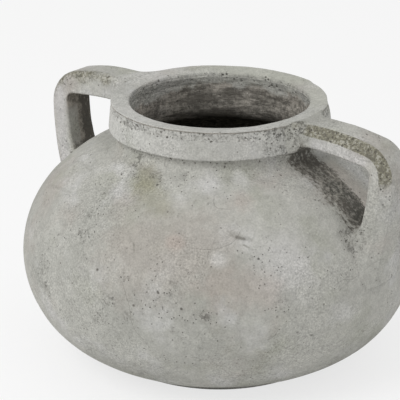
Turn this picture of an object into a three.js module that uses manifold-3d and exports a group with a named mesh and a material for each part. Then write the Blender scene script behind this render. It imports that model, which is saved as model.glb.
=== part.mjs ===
// A pelike: a squat, wide-mouthed jar with a low belly and two strap handles from the rim to the shoulder.
// It is hand built in grey cement. A floor slab, a lower bowl, an upper bowl with its neck, a thick collar
// round the mouth and two handles are made one by one and stuck together wet, each seated in the next.
// Millimetres, +Z up. The origin is the middle of the face it stands on, and the handles lie along X.
import * as THREE from "three";
import { mergeVertices } from "three/addons/utils/BufferGeometryUtils.js";
import Module from "manifold-3d";

// Body
const bellyRadius = 180;
const bellyHeight = 97;
const wall = 12;
const floorRadius = 90; // the inside floor is flat out to here, and the underbelly curves up from here
const bellyArcRadius = 97;
const shoulderArcRadius = 150;
const shoulderStart = 45; // degrees up the belly arc at which the flatter shoulder takes over

// Floor slab
const footRadius = 104;
const footHeight = 8;
const footEdgeRound = 2.5;
const standingRing = 18; // width of the ring it stands on, round a shallow recess
const recessDepth = 2;
const plugSetback = 10; // how far the slab's plug stays inside the flat of the floor

// Neck and collar
const neckRadius = 94;
const neckFillet = 9;
const neckLength = 6.3;
const collarHeight = 26;
const collarProud = 3.1; // how far the collar's top edge stands out from the neck
const collarFlare = 2.6; // how much wider the collar is at its foot
const collarOuterRound = 2.5;
const collarInnerRound = 3;
const collarFootRound = 1.5;
const mouthDish = 1.7; // fall of the collar's top face towards the mouth
const lipOverhang = 1.5;
const lipDepth = 13;
const spigotWall = 6;

// Handles
const strapWidth = 33.4;
const strapThickness = 20.8;
const outerEdgeRound = 6;
const innerEdgeRound = 2.5;
const handleReach = 11.8; // how far the handles stand out past the belly
const armDroop = 12; // degrees that the arm has turned down where the bend begins
const armTopRise = 0.9; // how far the arm's top face starts above the rim
const bendRadius = 16; // on the strap's centre line
const landingDrop = 102.5; // from the rim down to where the leg's centre line meets the shoulder
const rootSpread = 7; // how far each root spreads where it meets its seat, but not on the strap's outer face
const rootReach = 15; // how far off the seat it starts to spread
const rootClearance = 1; // the root under the arm ends this far above the collar's foot

// Joints between pieces
const jointGap = 0.3;
const tongueHeight = 8;

// Facets
const turns = 60;
const arcStep = 8; // degrees
const roundSteps = 3;
const rootSteps = 6;

const radians = THREE.MathUtils.degToRad;
const point = (r, z) => new THREE.Vector2(r, z);

// Levels and centres that follow from the sizes above
const throatRadius = neckRadius - wall;
const mouthRadius = throatRadius - lipOverhang;
const collarTopRadius = neckRadius + collarProud;
const collarFootRadius = collarTopRadius + collarFlare;
const underbellyDepth =
  (bellyHeight - footHeight) / Math.sqrt(1 - ((footRadius - floorRadius) / (bellyRadius - floorRadius)) ** 2);
const floorLevel = bellyHeight - (underbellyDepth - wall);
const plugRadius = floorRadius - plugSetback;
const bellyCentre = point(bellyRadius - bellyArcRadius, bellyHeight);
const shoulderDirection = point(Math.cos(radians(shoulderStart)), Math.sin(radians(shoulderStart)));
const shoulderCentre = bellyCentre
  .clone()
  .addScaledVector(shoulderDirection, bellyArcRadius - shoulderArcRadius);
const filletOffset = neckRadius + neckFillet - shoulderCentre.x;
const filletReach = shoulderArcRadius + neckFillet;
const filletCentre = point(
  neckRadius + neckFillet,
  shoulderCentre.y + Math.sqrt(filletReach ** 2 - filletOffset ** 2),
);
const filletStart = THREE.MathUtils.radToDeg(Math.acos(filletOffset / filletReach));
const collarUnderside = filletCentre.y + neckLength;
const rimHeight = collarUnderside + collarHeight;
const spigotTop = rimHeight - lipDepth;

// Points along an arc or an ellipse's arc, from one angle to another, both ends included.
function arc(centre, radiusR, radiusZ, from, to, steps = Math.ceil(Math.abs(to - from) / arcStep)) {
  return Array.from({ length: steps + 1 }, (_, i) => {
    const angle = radians(from + ((to - from) * i) / steps);
    return point(centre.x + radiusR * Math.cos(angle), centre.y + radiusZ * Math.sin(angle));
  });
}

// A rounded corner between the directions to the points before and after it.
function roundedCorner(before, corner, after, radius) {
  const towardsBefore = before.clone().sub(corner).normalize();
  const towardsAfter = after.clone().sub(corner).normalize();
  const half = Math.acos(THREE.MathUtils.clamp(towardsBefore.dot(towardsAfter), -1, 1)) / 2;
  const setback = radius / Math.tan(half);
  const centre = corner
    .clone()
    .addScaledVector(towardsBefore.clone().add(towardsAfter).normalize(), radius / Math.sin(half));
  const start = corner.clone().addScaledVector(towardsBefore, setback).sub(centre);
  const end = corner.clone().addScaledVector(towardsAfter, setback).sub(centre);
  const turn = Math.atan2(start.cross(end), start.dot(end));
  return Array.from({ length: roundSteps + 1 }, (_, i) =>
    start.clone().rotateAround(point(0, 0), (turn * i) / roundSteps).add(centre),
  );
}

// The underbelly, from the slab's edge up to the belly, set in by a depth.
function underbelly(inset) {
  const across = bellyRadius - floorRadius - inset;
  const down = underbellyDepth - inset;
  const level = inset ? floorLevel : footHeight;
  const lowest = -THREE.MathUtils.radToDeg(Math.asin(Math.min(1, (bellyHeight - level) / down)));
  return arc(point(floorRadius, bellyHeight), across, down, lowest, 0);
}

// The belly and shoulder above a height over the belly, and the fillet into the neck, set in by a depth.
function overbelly(inset, startHeight) {
  const belly = bellyArcRadius - inset;
  const start = THREE.MathUtils.radToDeg(Math.asin(startHeight / belly));
  const fillet = neckFillet + inset;
  return [
    ...arc(bellyCentre, belly, belly, start, shoulderStart),
    ...arc(shoulderCentre, shoulderArcRadius - inset, shoulderArcRadius - inset, shoulderStart, filletStart).slice(1),
    ...arc(filletCentre, fillet, fillet, filletStart + 180, 180, roundSteps + 1).slice(1),
  ];
}

// A solid turned about the upright axis from a closed outline, given anticlockwise in radius and height.
function turned(outline) {
  const profile = outline[0].x === 0 ? outline : [...outline, outline[0].clone()];
  return new THREE.LatheGeometry(profile, turns).rotateX(Math.PI / 2);
}

// Floor slab: a disc with a rounded edge and a recessed underside, and a plug that fills the bowl's foot.
function floorSlab() {
  const recessRadius = footRadius - standingRing;
  const edge = roundedCorner(point(0, 0), point(footRadius, 0), point(footRadius, footHeight), footEdgeRound);
  return turned([
    point(0, recessDepth),
    point(recessRadius, recessDepth),
    point(recessRadius + recessDepth, 0),
    ...edge,
    point(footRadius, footHeight),
    point(plugRadius, footHeight),
    point(plugRadius, floorLevel),
    point(0, floorLevel),
  ]);
}

// Lower bowl: it stands on the slab round the plug, and ends in a tongue at the belly.
const tongueRadius = bellyRadius - wall / 2 - jointGap;
const tongueTop = bellyHeight + tongueHeight;
function lowerBowl() {
  const tongueInside = overbelly(wall, tongueHeight)[0];
  return turned([
    ...underbelly(0),
    point(tongueRadius, bellyHeight),
    point(tongueRadius, tongueTop),
    tongueInside,
    ...underbelly(wall).reverse(),
    point(plugRadius + jointGap, floorLevel),
    point(plugRadius + jointGap, footHeight),
  ]);
}

// Upper bowl: belly, shoulder and neck in one curve, lapped over the tongue, with a spigot for the collar.
function upperBowl() {
  const spigotRadius = throatRadius + spigotWall;
  return turned([
    ...overbelly(0, 0),
    point(neckRadius, collarUnderside),
    point(spigotRadius, collarUnderside),
    point(spigotRadius, spigotTop),
    point(throatRadius, spigotTop),
    ...overbelly(wall, tongueHeight).reverse(),
    point(tongueRadius + jointGap, tongueTop),
    point(tongueRadius + jointGap, bellyHeight),
  ]);
}

// Collar: a thick ring that caps the spigot. It flares a little towards its foot, and its top is dished.
function rimCollar() {
  const seatRadius = throatRadius + spigotWall + jointGap;
  const footInside = point(seatRadius, collarUnderside);
  const footOutside = point(collarFootRadius, collarUnderside);
  const topOutside = point(collarTopRadius, rimHeight);
  const topInside = point(mouthRadius, rimHeight - mouthDish);
  const lipInside = point(mouthRadius, spigotTop);
  return turned([
    footInside,
    ...roundedCorner(footInside, footOutside, topOutside, collarFootRound),
    ...roundedCorner(footOutside, topOutside, topInside, collarOuterRound),
    ...roundedCorner(topOutside, topInside, lipInside, collarInnerRound),
    lipInside,
    point(seatRadius, spigotTop),
  ]);
}

// Outlines that the handles are cut to: the body and the collar, filled, and the joint gap larger.
function filledBody() {
  return turned([
    point(0, 0),
    ...underbelly(-jointGap),
    ...overbelly(-jointGap, 0).slice(1),
    point(neckRadius + jointGap, rimHeight),
    point(0, rimHeight),
  ]);
}
function filledCollar() {
  const aboveTop = rimHeight + strapThickness;
  return turned([
    point(0, collarUnderside - jointGap),
    point(collarFootRadius + jointGap, collarUnderside - jointGap),
    point(collarTopRadius + jointGap, rimHeight),
    point(collarTopRadius + jointGap, aboveTop),
    point(0, aboveTop),
  ]);
}

// How far a point stands off the body's or the collar's outer face.
function offBody(r, z) {
  const above = Math.atan2(z - bellyCentre.y, r - bellyCentre.x) > radians(shoulderStart);
  return above
    ? point(r, z).distanceTo(shoulderCentre) - shoulderArcRadius
    : point(r, z).distanceTo(bellyCentre) - bellyArcRadius;
}
function offCollar(r, z) {
  return r - (collarTopRadius + (collarFlare * (rimHeight - z)) / collarHeight);
}

// The height of a point on the shoulder or belly gives its radius.
function bodyRadiusAt(z) {
  const high = z > bellyCentre.y + bellyArcRadius * shoulderDirection.y;
  const centre = high ? shoulderCentre : bellyCentre;
  const radius = high ? shoulderArcRadius : bellyArcRadius;
  return centre.x + Math.sqrt(radius ** 2 - (z - centre.y) ** 2);
}

// The strap's section: thickness across, width up, rounder at the outer edges. It runs anticlockwise.
function strapSection() {
  const t = strapThickness / 2;
  const w = strapWidth / 2;
  const corners = [
    [point(-t, -w), innerEdgeRound],
    [point(t, -w), outerEdgeRound],
    [point(t, w), outerEdgeRound],
    [point(-t, w), innerEdgeRound],
  ];
  return corners.flatMap(([corner, radius], i) => {
    const before = corners[(i + 3) % 4][0];
    const after = corners[(i + 1) % 4][0];
    const rounded = roundedCorner(before, corner, after, radius);
    const next = roundedCorner(corner, after, corners[(i + 2) % 4][0], corners[(i + 1) % 4][1]);
    return [...rounded, rounded.at(-1).clone().lerp(next[0], 1 / 3), rounded.at(-1).clone().lerp(next[0], 2 / 3)];
  });
}

// Stations along the strap: a centre, a heading in degrees and the root that the station belongs to.
function strapStations() {
  const stations = [];
  let at = point(collarTopRadius, rimHeight + armTopRise - strapThickness / 2);
  let heading = 0;
  const direction = () => point(Math.cos(radians(heading)), Math.sin(radians(heading)));
  const note = (root) => stations.push({ at: at.clone(), heading, root });
  const straight = (length, root) => {
    at = at.clone().addScaledVector(direction(), length);
    note(root);
  };
  const curve = (length, turn, steps, root) => {
    for (let i = 0; i < steps; i += 1) {
      heading -= turn / steps / 2;
      at = at.clone().addScaledVector(direction(), length / steps);
      heading -= turn / steps / 2;
      note(root);
    }
  };
  // The root starts inside the collar, and its spread is followed in short steps.
  at.x -= strapThickness / 2;
  note("collar");
  straight(strapThickness / 2 - collarFlare, "collar");
  const rootStep = (rootReach + 2 * collarFlare) / rootSteps;
  for (let i = 0; i < rootSteps; i += 1) straight(rootStep, "collar");
  const droop = radians(armDroop);
  const legRadius = bellyRadius + handleReach - strapThickness / 2;
  const armSpan = legRadius - bendRadius * (1 - Math.sin(droop)) - at.x;
  curve((armSpan * droop) / Math.sin(droop), armDroop, 4, "collar");
  curve(bendRadius * radians(90 - armDroop), 90 - armDroop, 6, "collar");
  // The leg lands on the shoulder: an arc that starts straight down and ends at the landing point.
  const landing = point(bodyRadiusAt(rimHeight - landingDrop), rimHeight - landingDrop);
  const drop = at.y - landing.y;
  const lean = 2 * Math.atan2(at.x - landing.x, drop);
  const legLength = Math.abs(lean) < 1e-6 ? drop : (lean * Math.hypot(drop, at.x - landing.x)) / (2 * Math.sin(lean / 2));
  const spreadShare = (rootReach + strapThickness / 2) / legLength;
  const leanDegrees = THREE.MathUtils.radToDeg(lean);
  curve(legLength * (1 - spreadShare), leanDegrees * (1 - spreadShare), rootSteps, "body");
  curve(legLength * spreadShare, leanDegrees * spreadShare, rootSteps, "body");
  const embed = strapThickness + rootReach;
  for (let i = 0; i < 2 * rootSteps; i += 1) straight(embed / rootSteps / 2, "body");
  return stations;
}

// A strap handle along +X: its section carried along the stations, flared where it meets its seats.
function strapHandle(wasm) {
  const section = strapSection();
  const middle = point(0, 0);
  const underArmShare = Math.min(1, (collarHeight + armTopRise - strapThickness - rootClearance) / rootSpread);
  const rings = strapStations().map(({ at, heading, root }) => {
    const outward = point(-Math.sin(radians(heading)), Math.cos(radians(heading)));
    return section.map((p, i) => {
      const before = section.at(i - 1);
      const after = section[(i + 1) % section.length];
      const normal = after.clone().sub(before).rotateAround(middle, -Math.PI / 2).normalize();
      const x = at.x + outward.x * p.x;
      const z = at.y + outward.y * p.x;
      const off = root === "collar" ? offCollar(Math.hypot(x, p.y), z) : offBody(Math.hypot(x, p.y), z);
      const spread = rootSpread * THREE.MathUtils.clamp(1 - off / rootReach, 0, 1) ** 2;
      const across = Math.min(normal.x, 0) * spread * (root === "collar" ? underArmShare : 1);
      return new THREE.Vector3(x + outward.x * across, p.y + normal.y * spread, z + outward.y * across);
    });
  });
  const count = section.length;
  const positions = rings.flat().flatMap((p) => [p.x, p.y, p.z]);
  const index = [];
  for (let i = 0; i + 1 < rings.length; i += 1) {
    for (let j = 0; j < count; j += 1) {
      const a = i * count + j;
      const b = i * count + ((j + 1) % count);
      index.push(a, a + count, b, b, a + count, b + count);
    }
  }
  [0, rings.length - 1].forEach((i) => {
    const hub = positions.length / 3;
    const centre = rings[i].reduce((sum, p) => sum.add(p), new THREE.Vector3()).divideScalar(count);
    positions.push(centre.x, centre.y, centre.z);
    for (let j = 0; j < count; j += 1) {
      const a = i * count + j;
      const b = i * count + ((j + 1) % count);
      index.push(...(i ? [hub, b, a] : [hub, a, b]));
    }
  });
  const loft = new THREE.BufferGeometry();
  loft.setAttribute("position", new THREE.Float32BufferAttribute(positions, 3));
  loft.setIndex(index);
  const cut = solidOf(loft, wasm)
    .subtract(solidOf(filledBody(), wasm))
    .subtract(solidOf(filledCollar(), wasm));
  return geometryOf(cut);
}

// Geometry to a solid that can be cut, and back.
function solidOf(geometry, wasm) {
  const bare = geometry.clone();
  bare.deleteAttribute("normal");
  bare.deleteAttribute("uv");
  const merged = mergeVertices(bare, 1e-3);
  return new wasm.Manifold(
    new wasm.Mesh({
      numProp: 3,
      vertProperties: new Float32Array(merged.attributes.position.array),
      triVerts: new Uint32Array(merged.index.array),
    }),
  );
}
function geometryOf(solid) {
  const mesh = solid.getMesh();
  const geometry = new THREE.BufferGeometry();
  geometry.setAttribute("position", new THREE.BufferAttribute(new Float32Array(mesh.vertProperties), 3));
  geometry.setIndex(new THREE.BufferAttribute(new Uint32Array(mesh.triVerts), 1));
  geometry.computeVertexNormals();
  return geometry;
}

// Weathered grey cement, a little lighter on the rubbed collar and darker on the slab underneath.
const cement = (colour) => new THREE.MeshStandardMaterial({ color: colour, roughness: 0.95, metalness: 0 });

function piece(name, geometry, material) {
  const mesh = new THREE.Mesh(geometry, material);
  mesh.name = name;
  return mesh;
}

const wasm = await Module();
wasm.setup();

const bodyCement = cement(0xb0afa9);
const handleShape = strapHandle(wasm);
const rightHandle = piece("right_handle", handleShape, bodyCement);
const leftHandle = piece("left_handle", handleShape, bodyCement);
leftHandle.rotation.z = Math.PI;

const pelike = new THREE.Group();
pelike.add(
  piece("floor_slab", floorSlab(), cement(0x9f9e98)),
  piece("lower_bowl", lowerBowl(), bodyCement),
  piece("upper_bowl", upperBowl(), bodyCement),
  piece("rim_collar", rimCollar(), cement(0xb6b5af)),
  rightHandle,
  leftHandle,
);

export default pelike;
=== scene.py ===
# A pelike: a squat, wide-mouthed jar of weathered grey cement with two strap handles. The pieces are made
# in the order in which such a jar is put together: the floor slab, the lower bowl, the upper bowl with its
# neck, the collar round the mouth and the handles. Metres, +Z up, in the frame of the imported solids.
import math

import bpy
import numpy as np
from mathutils import Matrix, Vector


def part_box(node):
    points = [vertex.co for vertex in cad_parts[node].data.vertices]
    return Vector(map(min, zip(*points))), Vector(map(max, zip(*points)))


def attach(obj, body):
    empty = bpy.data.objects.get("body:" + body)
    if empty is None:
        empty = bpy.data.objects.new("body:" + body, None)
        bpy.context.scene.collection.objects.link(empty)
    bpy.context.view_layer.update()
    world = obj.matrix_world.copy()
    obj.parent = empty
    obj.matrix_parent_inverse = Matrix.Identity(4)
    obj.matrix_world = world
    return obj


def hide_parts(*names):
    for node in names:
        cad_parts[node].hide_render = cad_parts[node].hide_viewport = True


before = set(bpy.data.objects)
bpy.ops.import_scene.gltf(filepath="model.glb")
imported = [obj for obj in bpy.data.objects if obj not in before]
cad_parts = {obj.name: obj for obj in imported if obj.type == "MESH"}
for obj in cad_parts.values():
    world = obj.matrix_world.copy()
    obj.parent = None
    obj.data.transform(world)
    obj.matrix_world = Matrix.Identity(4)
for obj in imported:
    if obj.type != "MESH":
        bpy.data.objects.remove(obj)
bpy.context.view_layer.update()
MM = 0.001

# Floor slab
# The disc that the jar stands on, pressed out of wet cement. Its edge is rounded by hand, and its underside
# has a shallow recess, so that it stands on a ring. As it is the first piece to be dressed, the ways in
# which every piece is turned, worked over by hand and coloured are made here.
slab_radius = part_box("floor_slab")[1].x
slab_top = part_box("lower_bowl")[0].z
inside_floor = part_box("floor_slab")[1].z
standing_ring = 18 * MM
recess_depth = 2 * MM
plug_radius = 80 * MM
slab_edge_round = 2.5 * MM
slab_turns = 360
throat_radius = 82 * MM
mouth_zone = (96 * MM, 90 * MM)  # how far from the axis the mouth's own marks fade out and are full
rim_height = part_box("rim_collar")[1].z
rim_turn = math.radians(38.41)  # the way that the mouth was squeezed while the cement was wet
rim_squeeze = 0.9 * MM
rim_shift = 0.5 * MM
knocked_edge = (0.079, 0.058, 0.241), (0.048, 0.084, 0.241)  # where the rim's edge is knocked in
knock_depth = 2.2 * MM
ridge_height = 6 * MM  # of what is smeared on inside the mouth
slab_light, slab_dark = (0.33, 0.325, 0.30, 1), (0.27, 0.265, 0.243, 1)
# Dark colours of dirt and soot, also used for the painted shade in the mouth and on the handles
dirt_and_shade_brown, soot_and_shade_black, moss_green = (0.10, 0.092, 0.078, 1), (0.075, 0.073, 0.062, 1), (0.195, 0.185, 0.133, 1)
pale_grain, arm_tint = (0.52, 0.51, 0.465, 1), (0.33, 0.30, 0.25, 1)
throat_tint, lit_lip_tint = (0.40, 0.355, 0.30, 1), (0.54, 0.54, 0.50, 1)
soft_tints = (  # colour, size of its patches, seed, share
    ((0.36, 0.325, 0.295, 1), 30 * MM, 23.0, 0.6),
    ((0.31, 0.315, 0.26, 1), 24 * MM, 24.0, 0.55),
    ((0.50, 0.496, 0.485, 1), 20 * MM, 25.0, 0.65),
)
worn_pits = (3 * MM, 2.4 * MM, 0.4, 11.0)  # apart, size, share where the surface is fully worn, seed
lump_span, dimple_span, grain_span = 60 * MM, 16 * MM, 4 * MM
hand_marks = {"Lump": 1.5 * MM, "Dimple": 0.9 * MM, "Grain": 0.35 * MM}  # how far they move the surface
mark_sizes = {"Lump": "Float", "Dimple": "Float", "Grain": "Float", "Pit": "Float", "Material": "Material"}


class Socket:
    """A node's output. Arithmetic on it adds the Math or Vector Math node that does it."""

    def __init__(self, nodes, link):
        self.nodes, self.link = nodes, link

    def __add__(self, other):
        return self.nodes.maths("ADD", self, other)

    def __sub__(self, other):
        return self.nodes.maths("SUBTRACT", self, other)

    def __mul__(self, other):
        return self.nodes.maths("MULTIPLY", self, other)

    def __truediv__(self, other):
        return self.nodes.maths("DIVIDE", self, other)

    def __radd__(self, other):
        return self.nodes.maths("ADD", other, self)

    def __rsub__(self, other):
        return self.nodes.maths("SUBTRACT", other, self)

    def __rmul__(self, other):
        return self.nodes.maths("MULTIPLY", other, self)

    def __rtruediv__(self, other):
        return self.nodes.maths("DIVIDE", other, self)


class Nodes:
    """A node tree that is written as expressions."""

    def __init__(self, tree):
        self.tree = tree
        self.tree.nodes.clear()

    def add(self, kind, settings={}, inputs={}, output=0):
        node = self.tree.nodes.new(kind)
        for name, value in settings.items():
            setattr(node, name, value)
        for name, value in inputs.items():
            if isinstance(value, Socket):
                self.tree.links.new(value.link, node.inputs[name])
            else:
                node.inputs[name].default_value = value
        return Socket(self, node.outputs[output]) if len(node.outputs) else None

    def maths(self, operation, *values):
        """Adds a Math node, or a Vector Math node where one of the values is a vector or a colour."""
        links = [value.link.type for value in values if isinstance(value, Socket)]
        vector = "VECTOR" in links or "RGBA" in links or any(isinstance(value, tuple) for value in values)
        if vector:
            values = [value if isinstance(value, (Socket, tuple)) else (value,) * 3 for value in values]
        kind = "ShaderNodeVectorMath" if vector else "ShaderNodeMath"
        return self.add(kind, {"operation": operation}, dict(enumerate(values)))

    def smooth(self, value, low, high):
        """0 where the value is at low or past it, 1 at high, and an S-curve between them."""
        limits = {"Value": value, "From Min": min(low, high), "From Max": max(low, high)}
        limits |= {"To Min": float(low > high), "To Max": float(low < high)}
        return self.add("ShaderNodeMapRange", {"interpolation_type": "SMOOTHSTEP"}, limits)

    def noise(self, place, feature, detail=3.0, seed=0.0, colour=False, roughness=0.5):
        """Noise with patches of about the given size in metres, from 0 to 1."""
        inputs = {"Vector": place, "W": seed, "Scale": 0.5 / feature}
        inputs |= {"Detail": detail, "Roughness": roughness}
        output = "Color" if colour else "Fac"
        return self.add("ShaderNodeTexNoise", {"noise_dimensions": "4D"}, inputs, output)

    def mix(self, share, first, second):
        """Blends two colours."""
        return self.add("ShaderNodeMix", {"data_type": "RGBA"}, {0: share, 6: first, 7: second}, 2)

    def parts(self, vector):
        """The x, y and z of a vector."""
        split = self.add("ShaderNodeSeparateXYZ", {}, {0: vector})
        return [Socket(self, output) for output in split.link.node.outputs]

    def off_line(self, place, start, end):
        """How far a place is from the straight line between two places."""
        run = Vector(end) - Vector(start)
        pull = tuple(run / max(run.length_squared, 1e-9))
        away = place - start
        share = self.add("ShaderNodeVectorMath", {"operation": "DOT_PRODUCT"}, {0: away, 1: pull}, "Value")
        share = self.maths("MAXIMUM", self.maths("MINIMUM", share, 1.0), 0.0)
        offset = away - self.maths("MULTIPLY", share, tuple(run))
        return self.add("ShaderNodeVectorMath", {"operation": "LENGTH"}, {0: offset}, "Value")

    def off_axis(self, place):
        """How far a place is from the jar's axis."""
        return self.off_line(place * (1.0, 1.0, 0.0), (0, 0, 0), (0, 0, 0))

    def pits(self, place, apart, size, share, seed):
        """Round hollows with ragged edges, so far apart and so wide. The share says how many there are."""
        ragged = (self.noise(place, size * 0.7, 2.0, seed, colour=True) - 0.5) * (size * 0.9)
        inputs = {"Vector": place + ragged + (seed, 0.0, 0.0), "Scale": 1 / apart}
        cells = self.add("ShaderNodeTexVoronoi", {}, inputs, "Distance")
        lot = self.parts(Socket(self, cells.link.node.outputs["Color"]))[0]
        hollow = self.smooth(cells, 0.5 * size / apart, 0.3 * size / apart)
        return hollow * self.smooth(lot - share, 0.02, -0.02)


def geometry_tree(name, inputs):
    """An empty Geometry Nodes tree and its inputs as sockets."""
    tree = bpy.data.node_groups.new(name, "GeometryNodeTree")
    tree.interface.new_socket("Geometry", in_out="INPUT", socket_type="NodeSocketGeometry")
    for label, kind in inputs.items():
        tree.interface.new_socket(label, in_out="INPUT", socket_type="NodeSocket" + kind)
    tree.interface.new_socket("Geometry", in_out="OUTPUT", socket_type="NodeSocketGeometry")
    nodes = Nodes(tree)
    entry = nodes.add("NodeGroupInput").link.node
    return nodes, {output.name: Socket(nodes, output) for output in entry.outputs if output.name}


def hand_worked_tree():
    """Presses a clean form out of true: broad lumps, finger-sized dimples, grain, and pits where it is
    worn. What moves a place hangs mostly on where it is, so pieces that meet stay together. The foot
    stays flat."""
    nodes, given = geometry_tree("hand_worked", mark_sizes)
    place = nodes.add("GeometryNodeInputPosition")
    x, y, z = nodes.parts(place)
    lump = (nodes.noise(place, lump_span, 1.0, 1.0, colour=True) - 0.5) * given["Lump"]
    dimple = (nodes.noise(place, dimple_span, 2.0, 2.0, colour=True) - 0.5) * given["Dimple"]
    grain = (nodes.noise(place, grain_span, 2.0, 3.0, colour=True) - 0.5) * given["Grain"]
    zones = nodes.add("GeometryNodeInputNamedAttribute", {"data_type": "FLOAT_VECTOR"}, {"Name": "zones"})
    dirt_and_shade_share, worn, mossy = nodes.parts(zones)
    apart, size, share, seed = worn_pits
    pitted = nodes.pits(place, apart, size, worn * share, seed)
    pit = nodes.add("GeometryNodeInputNormal") * (pitted * given["Pit"] * -1.0)

    # The mouth: out of round, knocked in at one place, and with ridges of smeared cement inside
    turned = nodes.maths("ARCTAN2", y, x) - rim_turn
    once, twice, thrice = (nodes.maths("COSINE", turned * times) for times in (1.0, 2.0, 3.0))
    out_of_round = nodes.maths("MAXIMUM", once - thrice, -0.6)
    drawn_out = once + twice
    outwards = nodes.add("ShaderNodeVectorMath", {"operation": "NORMALIZE"}, {0: place * (1.0, 1.0, 0.0)})
    knock = nodes.smooth(nodes.off_line(place, *knocked_edge), 17 * MM, 3 * MM)
    knocked = outwards * (knock * -knock_depth) + (lump + dimple) * knock
    radius = nodes.off_axis(place)
    near_rim = nodes.smooth(z, 0.17, 0.214) * nodes.smooth(radius, 0.135, 0.104)
    squeezed = outwards * ((drawn_out * rim_shift - out_of_round * rim_squeeze) * near_rim)
    ridge = (nodes.noise(place * (0.3, 0.3, 1.0), 6 * MM, 3.0, 4.0) - 0.5) * dirt_and_shade_share * ridge_height
    ridge = ridge * nodes.smooth(radius, 0.12, 0.1)

    offset = lump + dimple * (1.0 + dirt_and_shade_share) + grain + pit + squeezed + knocked + outwards * ridge
    offset = offset * nodes.smooth(z, 3 * MM, 25 * MM)
    moved = nodes.add("GeometryNodeSetPosition", {}, {"Geometry": given["Geometry"], "Offset": offset})
    smooth = nodes.add("GeometryNodeSetShadeSmooth", {}, {"Geometry": moved})
    real = nodes.add("GeometryNodeRealizeInstances", {}, {"Geometry": smooth})
    done = nodes.add("GeometryNodeSetMaterial", {}, {"Geometry": real, "Material": given["Material"]})
    nodes.add("NodeGroupOutput", {}, {"Geometry": done})
    return nodes.tree


def turned_tree():
    """Turns an outline of points round the upright axis, as on a wheel, and works the form over by hand."""
    nodes, given = geometry_tree("turned", {"Turns": "Int"} | mark_sizes)
    outline = given["Geometry"]
    rows = nodes.add("GeometryNodeAttributeDomainSize", {"component": "MESH"}, {"Geometry": outline})
    grid = nodes.add("GeometryNodeMeshGrid", {}, {"Vertices X": given["Turns"] + 1, "Vertices Y": rows})
    index = nodes.add("GeometryNodeInputIndex")
    row = nodes.maths("MODULO", index, rows)
    column = nodes.maths("FLOOR", index / rows)
    zones = nodes.add("GeometryNodeInputNamedAttribute", {"data_type": "FLOAT_VECTOR"}, {"Name": "zones"})
    point, zone = (
        nodes.add(
            "GeometryNodeSampleIndex",
            {"data_type": "FLOAT_VECTOR"},
            {"Geometry": outline, "Value": field, "Index": row},
        )
        for field in (nodes.add("GeometryNodeInputPosition"), zones)
    )
    turn = {"Vector": point, "Angle": column / given["Turns"] * (2 * math.pi)}
    around = nodes.add("ShaderNodeVectorRotate", {"rotation_type": "Z_AXIS"}, turn)
    zoned = nodes.add(
        "GeometryNodeStoreNamedAttribute",
        {"data_type": "FLOAT_VECTOR"},
        {"Geometry": grid, "Name": "zones", "Value": zone},
    )
    wrapped = nodes.add("GeometryNodeSetPosition", {}, {"Geometry": zoned, "Position": around})
    closed = nodes.add("GeometryNodeMergeByDistance", {}, {"Geometry": wrapped, "Distance": 0.01 * MM})
    by_hand = {"Geometry": closed} | {label: given[label] for label in mark_sizes}
    worked = nodes.add("GeometryNodeGroup", {"node_tree": hand_worked}, by_hand)
    real = nodes.add("GeometryNodeRealizeInstances", {}, {"Geometry": worked})
    done = nodes.add("GeometryNodeSetMaterial", {}, {"Geometry": real, "Material": given["Material"]})
    nodes.add("NodeGroupOutput", {}, {"Geometry": done})
    return nodes.tree


def through_nodes(name, mesh, tree, sizes):
    """Runs a mesh through a Geometry Nodes tree and leaves a plain mesh."""
    piece = bpy.data.objects.new(name, mesh)
    bpy.context.scene.collection.objects.link(piece)
    modifier = piece.modifiers.new(tree.name, "NODES")
    modifier.node_group = tree
    for socket in tree.interface.items_tree:
        if socket.name in sizes:
            modifier[socket.identifier] = sizes[socket.name]
    evaluated = piece.evaluated_get(bpy.context.evaluated_depsgraph_get())
    result = bpy.data.meshes.new_from_object(evaluated)
    piece.modifiers.clear()
    piece.data = result
    result.name = name
    result.set_sharp_from_angle(angle=math.radians(50))
    return piece


def arc(centre, radius, start, end):
    """Points along an arc in radius and height, from one angle to another in degrees."""
    angles = np.radians(np.linspace(start, end, 90))
    return np.array(centre) + np.array(radius) * np.stack((np.cos(angles), np.sin(angles)), 1)


def stroke(points, spacing, dirt_and_shade_share=0.0, worn=0.0):
    """A part of an outline, evenly spaced, its share of dirt and painted shade, and how worn it is. The
    share grows with the depth under the rim, as painted shade deeper in the jar.
    """
    points = np.array(points)
    along = np.concatenate(([0.0], np.cumsum(np.linalg.norm(np.diff(points, axis=0), axis=1))))
    places = np.linspace(0, along[-1], max(2, round(along[-1] / spacing) + 1))
    r, z = (np.interp(places, along, points[:, i]) for i in (0, 1))
    # Painted shade: the deeper a place lies under the rim, the darker it is painted
    deeper = np.clip((rim_height - z) / (70 * MM), 0, 1)
    return np.stack((r, z, dirt_and_shade_share * (0.45 + 0.45 * deeper), np.full(len(r), worn)), 1)


def turned_piece(name, strokes, turns, material, pit=0.0):
    """A piece turned from the strokes of its outline, given anticlockwise."""
    outline = np.concatenate(strokes)
    r, z, dirt_and_shade_share, worn = outline.T
    flat = np.zeros(len(r))
    mesh = bpy.data.meshes.new(name)
    mesh.from_pydata(np.stack((r, flat, z), 1).tolist(), [], [])
    zones = mesh.attributes.new("zones", "FLOAT_VECTOR", "POINT")
    zones.data.foreach_set("vector", np.stack((dirt_and_shade_share, worn, flat), 1).ravel())
    sizes = hand_marks | {"Turns": turns, "Pit": pit, "Material": material}
    return through_nodes(name, mesh, turned, sizes)


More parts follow.
